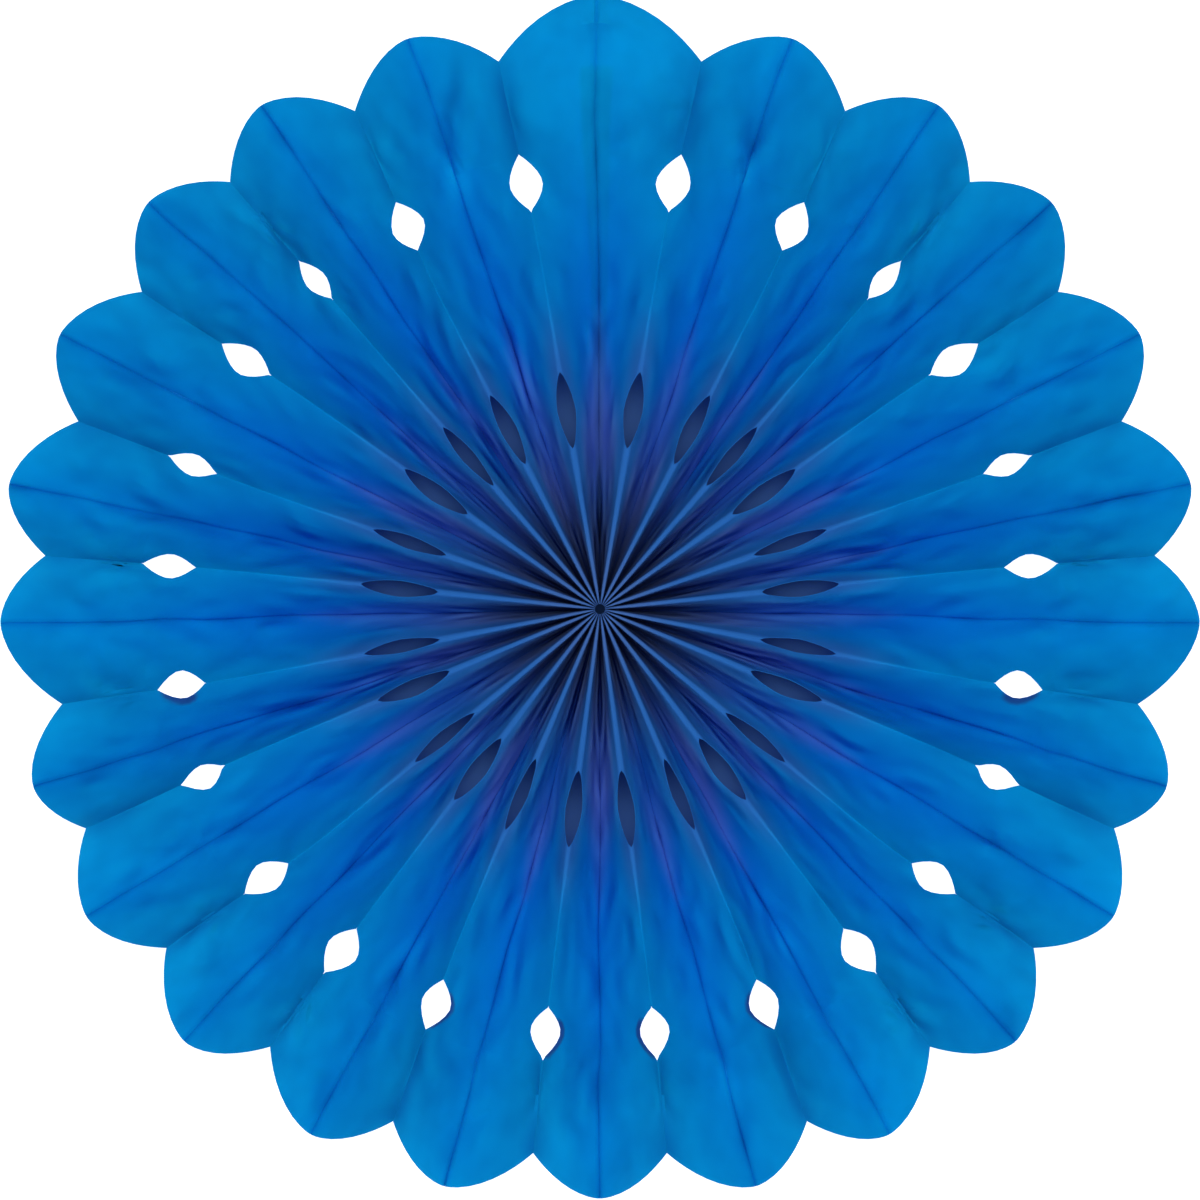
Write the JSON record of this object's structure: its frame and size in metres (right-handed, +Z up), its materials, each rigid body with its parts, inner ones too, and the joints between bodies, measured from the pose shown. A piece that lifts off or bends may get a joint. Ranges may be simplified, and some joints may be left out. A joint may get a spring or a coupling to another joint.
{
  "type": "paper fan medallion",
  "caption": "Round pleated paper fan, opened to a full circle, with a scalloped rim and rings of lens-shaped cut-outs, tied at the hub.",
  "frame": {"origin": "middle of the hub, halfway between the front ridges and the back creases", "axes": "+Z is up as it hangs, towards the widest petal; -Y is the front, +Y points into the wall"},
  "size_m": [0.4058, 0.0361, 0.406],
  "materials": {
    "fan_paper": "matt tissue paper",
    "thread": "matt cotton",
    "tape": "matt film"
  },
  "bodies": {
    "root": {"pleated_fan": "fan_paper", "centre_thread": "thread", "seam_tape": "tape"}
  },
  "joints": []
}
